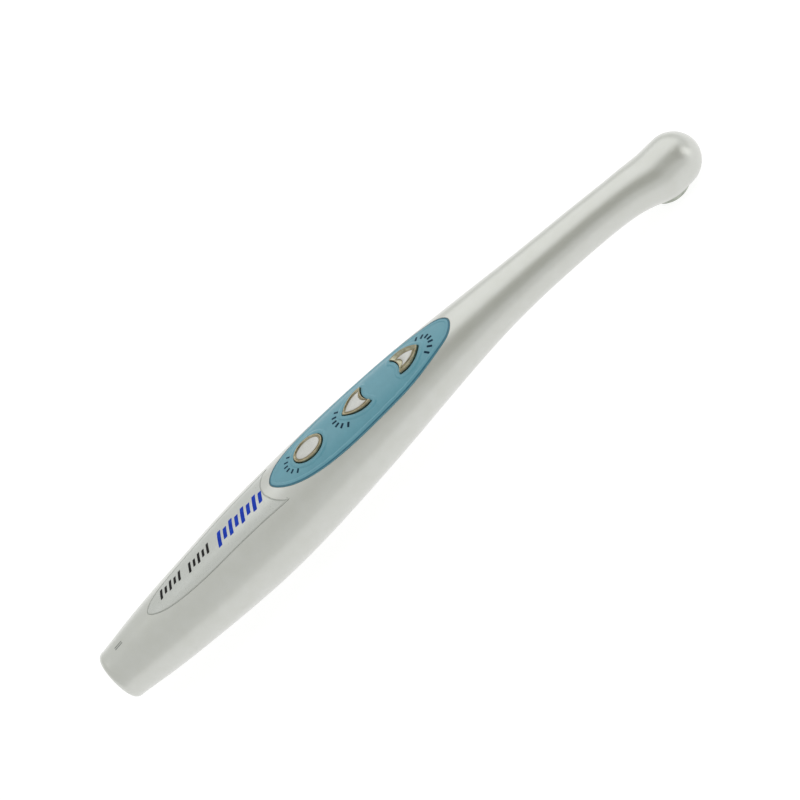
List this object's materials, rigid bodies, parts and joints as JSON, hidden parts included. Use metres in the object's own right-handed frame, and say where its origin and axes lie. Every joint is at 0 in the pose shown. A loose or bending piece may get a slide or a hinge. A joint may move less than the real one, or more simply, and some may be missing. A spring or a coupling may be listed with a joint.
{
  "type": "intraoral camera",
  "caption": "Slim dental camera handpiece with an oval pearl body, an inlaid panel of sprung buttons, a bent neck, a ball head with a round lens window and a cable socket in the tail.",
  "frame": {"origin": "middle of the bounding box at the surface the handpiece lies on", "axes": "+X from the tail to the head, +Z the side with the buttons, Y across"},
  "size_m": [0.205, 0.0256, 0.0236],
  "materials": {
    "pearl_shell": "pearl paint over moulded plastic, satin gloss",
    "film": "printed clear film, satin",
    "panel_blue": "blue moulded inlay, satin gloss",
    "plated_rim": "plated, light bronze",
    "pearl_cap": "pearl paint, satin",
    "switch_body": "black moulded",
    "switch_plunger": "ivory moulded",
    "circuit_board": "green solder mask",
    "chip_black": "black moulded",
    "steel": "nickel-plated steel",
    "ceramic": "tan ceramic",
    "connector_plastic": "natural nylon",
    "socket_plastic": "black moulded",
    "gold_contact": "gold flash",
    "wire_cover": "soft insulation",
    "rim_metal": "satin grey rim",
    "window_glass": "polished, green-grey coating",
    "lens_glass": "polished",
    "filter_glass": "cyan filter glass",
    "gasket_rubber": "black",
    "led_lens": "cast resin with yellow phosphor",
    "sensor_face": "glass-faced chip",
    "flex_film": "amber polyimide"
  },
  "bodies": {
    "housing": {"board_screws": "steel", "capture_switch_case": "switch_body", "chip_capacitors": "ceramic", "control_panel": "panel_blue", "crystal": "steel", "ffc_connector": "connector_plastic", "front_lens": "lens_glass", "head_flex": "flex_film", "image_sensor": "sensor_face", "ir_filter": "filter_glass", "label_film": "film", "led_board": "circuit_board", "led_leads": "gold_contact", "leds": "led_lens", "lens_barrel": "chip_black", "lens_holder": "chip_black", "lower_shell": "pearl_shell", "main_board": "circuit_board", "mirror_switch_case": "switch_body", "power_switch_case": "switch_body", "rear_lens": "lens_glass", "sensor_board": "circuit_board", "shell_screws": "steel", "socket_block": "socket_plastic", "socket_contacts": "gold_contact", "socket_shield": "steel", "socket_wires": "wire_cover", "tail_cap": "pearl_shell", "upper_shell": "pearl_shell", "video_encoder": "chip_black", "video_processor": "chip_black", "window_bezel": "rim_metal", "window_gasket": "gasket_rubber", "window_glass": "window_glass", "wire_header": "connector_plastic"},
    "power_key": {"power_button_frame": "plated_rim", "power_button_cap": "pearl_cap", "power_switch_plunger": "switch_plunger"},
    "mirror_key": {"mirror_button_frame": "plated_rim", "mirror_button_cap": "pearl_cap", "mirror_switch_plunger": "switch_plunger"},
    "capture_key": {"capture_button_frame": "plated_rim", "capture_button_cap": "pearl_cap", "capture_switch_plunger": "switch_plunger"}
  },
  "joints": [
    {"name": "power_press", "type": "slide", "parent": "housing", "child": "power_key", "axis": [0, 0, -1], "range_m": [0, 0.0004], "stiffness_N_per_m": 1500, "springref_m": -0.0005},
    {"name": "mirror_press", "type": "slide", "parent": "housing", "child": "mirror_key", "axis": [0, 0, -1], "range_m": [0, 0.0004], "stiffness_N_per_m": 1500, "springref_m": -0.0005},
    {"name": "capture_press", "type": "slide", "parent": "housing", "child": "capture_key", "axis": [0, 0, -1], "range_m": [0, 0.0004], "stiffness_N_per_m": 1500, "springref_m": -0.0005}
  ]
}
